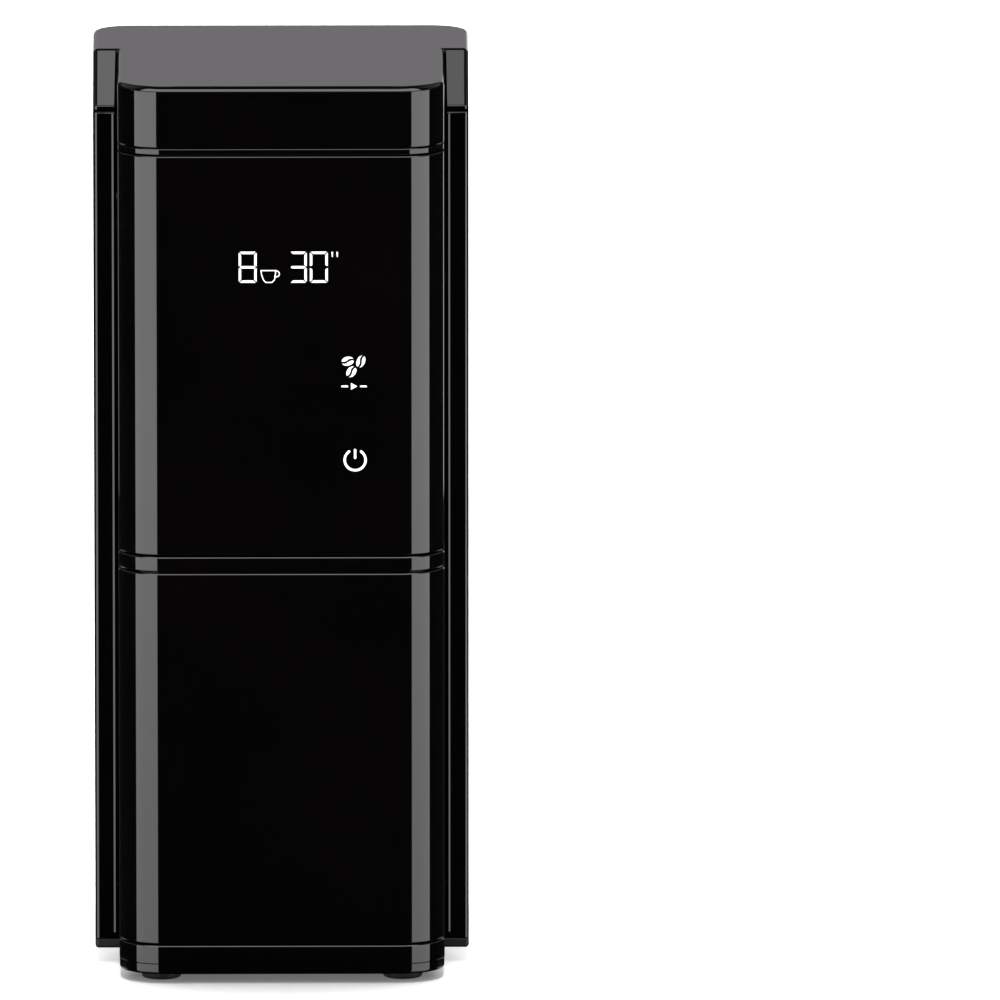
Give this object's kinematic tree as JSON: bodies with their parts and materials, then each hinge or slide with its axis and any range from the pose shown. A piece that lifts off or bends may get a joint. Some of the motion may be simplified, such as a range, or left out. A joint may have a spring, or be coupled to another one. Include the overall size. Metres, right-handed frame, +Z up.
{
  "type": "burr coffee grinder",
  "caption": "Tall slim gloss-black burr coffee grinder: touch front, rear wings, lift-out hopper under a hinged T-shaped lid, geared flat burrs and a pull-out grounds container.",
  "frame": {"origin": "on the standing surface, under the centre of the body's outer box", "axes": "+Z up, the touch front faces -Y, +X to the right of a user who looks at the front"},
  "size_m": [0.1246, 0.152, 0.297],
  "materials": {
    "gloss_black": "injection-moulded black plastic, mirror polished",
    "satin_black": "fine spark-eroded black moulding",
    "smoked_clear": "clear plastic with a grey smoke tint",
    "rubber_black": "matt moulded rubber",
    "seal_grey": "soft silicone",
    "bright_steel": "turned and ground",
    "burr_steel": "hardened, ground on the cutting face",
    "zinc_steel": "zinc plated",
    "bronze": "sintered, oiled",
    "copper_wire": "enamelled copper on laminations",
    "white_nylon": "natural acetal and nylon",
    "grey_plastic": "glass-filled plastic",
    "board_green": "solder-masked circuit board",
    "ribbon_white": "flat flexible cable"
  },
  "bodies": {
    "housing": {"rear_housing": "gloss_black", "bottom_plate": "satin_black", "base_tray": "gloss_black", "front_housing": "gloss_black", "cord_grommet": "rubber_black", "foot_front_left": "rubber_black", "foot_front_right": "rubber_black", "foot_rear_left": "rubber_black", "foot_rear_right": "rubber_black", "bottom_screw_front_left": "zinc_steel", "bottom_screw_front_right": "zinc_steel", "bottom_screw_rear_left": "zinc_steel", "bottom_screw_rear_right": "zinc_steel", "chassis": "satin_black", "gearbox_cover": "grey_plastic", "ground_chute": "satin_black", "burr_housing": "grey_plastic", "upper_bush": "bronze", "lower_bush": "bronze", "selector_axle": "bright_steel", "motor_can": "zinc_steel", "motor_end_bell": "zinc_steel", "motor_isolator": "rubber_black", "motor_bracket": "zinc_steel", "motor_screw_left": "bright_steel", "motor_screw_right": "bright_steel", "touch_board": "board_green", "display_module": "grey_plastic", "key_lamps": "grey_plastic", "control_board": "board_green", "display_ribbon": "ribbon_white", "power_board": "board_green", "motor_lead": "rubber_black", "container_switch": "satin_black", "switch_bracket": "zinc_steel", "interlock_switch": "satin_black", "interlock_spring": "bright_steel"},
    "hopper": {"hopper": "smoked_clear"},
    "lid": {"hopper_lid": "gloss_black", "lid_gasket": "seal_grey", "hinge_pin_left": "bright_steel", "hinge_pin_right": "bright_steel"},
    "container": {"grounds_container": "gloss_black", "container_lid": "gloss_black"},
    "burr_drive": {"burr_shaft": "bright_steel", "lower_burr": "burr_steel", "burr_carrier": "white_nylon", "burr_nut": "bright_steel", "drive_gear": "white_nylon"},
    "motor_rotor": {"motor_shaft": "bright_steel", "armature": "copper_wire", "cooling_fan": "white_nylon", "pinion": "bright_steel"},
    "adjuster": {"adjust_ring": "white_nylon", "upper_burr": "burr_steel"},
    "selector": {"selector_wheel": "satin_black"},
    "interlock": {"interlock_plunger": "white_nylon"}
  },
  "joints": [
    {"name": "hopper_lift", "type": "slide", "parent": "housing", "child": "hopper", "axis": [0, 0, 1], "range_m": [0, 0.075]},
    {"name": "lid_hinge", "type": "hinge", "parent": "hopper", "child": "lid", "pos_m": [0, 0.0712, 0.289], "axis": [-1, 0, 0], "range_deg": [0, 92]},
    {"name": "container_pull", "type": "slide", "parent": "housing", "child": "container", "axis": [0, -1, 0], "range_m": [0, 0.1]},
    {"name": "burr_spin", "type": "hinge", "parent": "housing", "child": "burr_drive", "pos_m": [0, 0.005, 0], "axis": [0, 0, 1], "continuous": true},
    {"name": "motor_spin", "type": "hinge", "parent": "housing", "child": "motor_rotor", "pos_m": [0, 0.0425, 0], "axis": [0, 0, 1], "continuous": true},
    {"name": "grind_adjust", "type": "hinge", "parent": "housing", "child": "adjuster", "pos_m": [0, 0.005, 0], "axis": [0, 0, 1], "range_deg": [0, 60]},
    {"name": "selector_turn", "type": "hinge", "parent": "housing", "child": "selector", "pos_m": [0.048, 0.005, 0], "axis": [0, 0, 1], "range_deg": [-184, 4]},
    {"name": "interlock_press", "type": "slide", "parent": "housing", "child": "interlock", "axis": [0, 0, -1], "range_m": [0, 0.002], "stiffness_N_per_m": 200, "springref_m": -0.004, "deforming": ["interlock_spring"]}
  ],
  "couplings": [
    {"joint": "motor_spin", "follows": "burr_spin", "ratio": -4},
    {"joint": "selector_turn", "follows": "grind_adjust", "ratio": -3}
  ]
}
